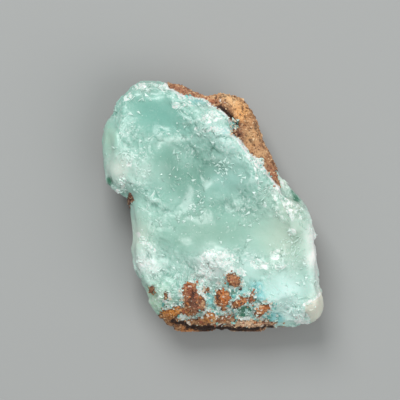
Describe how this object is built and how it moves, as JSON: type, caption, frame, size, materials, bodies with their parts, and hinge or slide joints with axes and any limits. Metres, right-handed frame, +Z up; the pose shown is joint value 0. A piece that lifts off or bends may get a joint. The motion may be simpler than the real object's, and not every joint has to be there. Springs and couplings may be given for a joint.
{
  "type": "mineral specimen",
  "caption": "Rough hand specimen of pale blue-green chrysocolla, a thick translucent vein with brown limonite host rock along one flank, its lower edge and its broken back.",
  "frame": {"origin": "middle of the stone's box in plan, at the height of the surface that it lies on", "axes": "+Z up out of the green face, +Y towards the pale knob at the narrow end, +X to the right as the face is looked at"},
  "size_m": [0.0646, 0.0728, 0.024],
  "materials": {
    "chrysocolla": "satin",
    "limonite": "matte",
    "quartz": "gloss"
  },
  "bodies": {
    "root": {"chrysocolla_stone": "chrysocolla"}
  },
  "joints": []
}
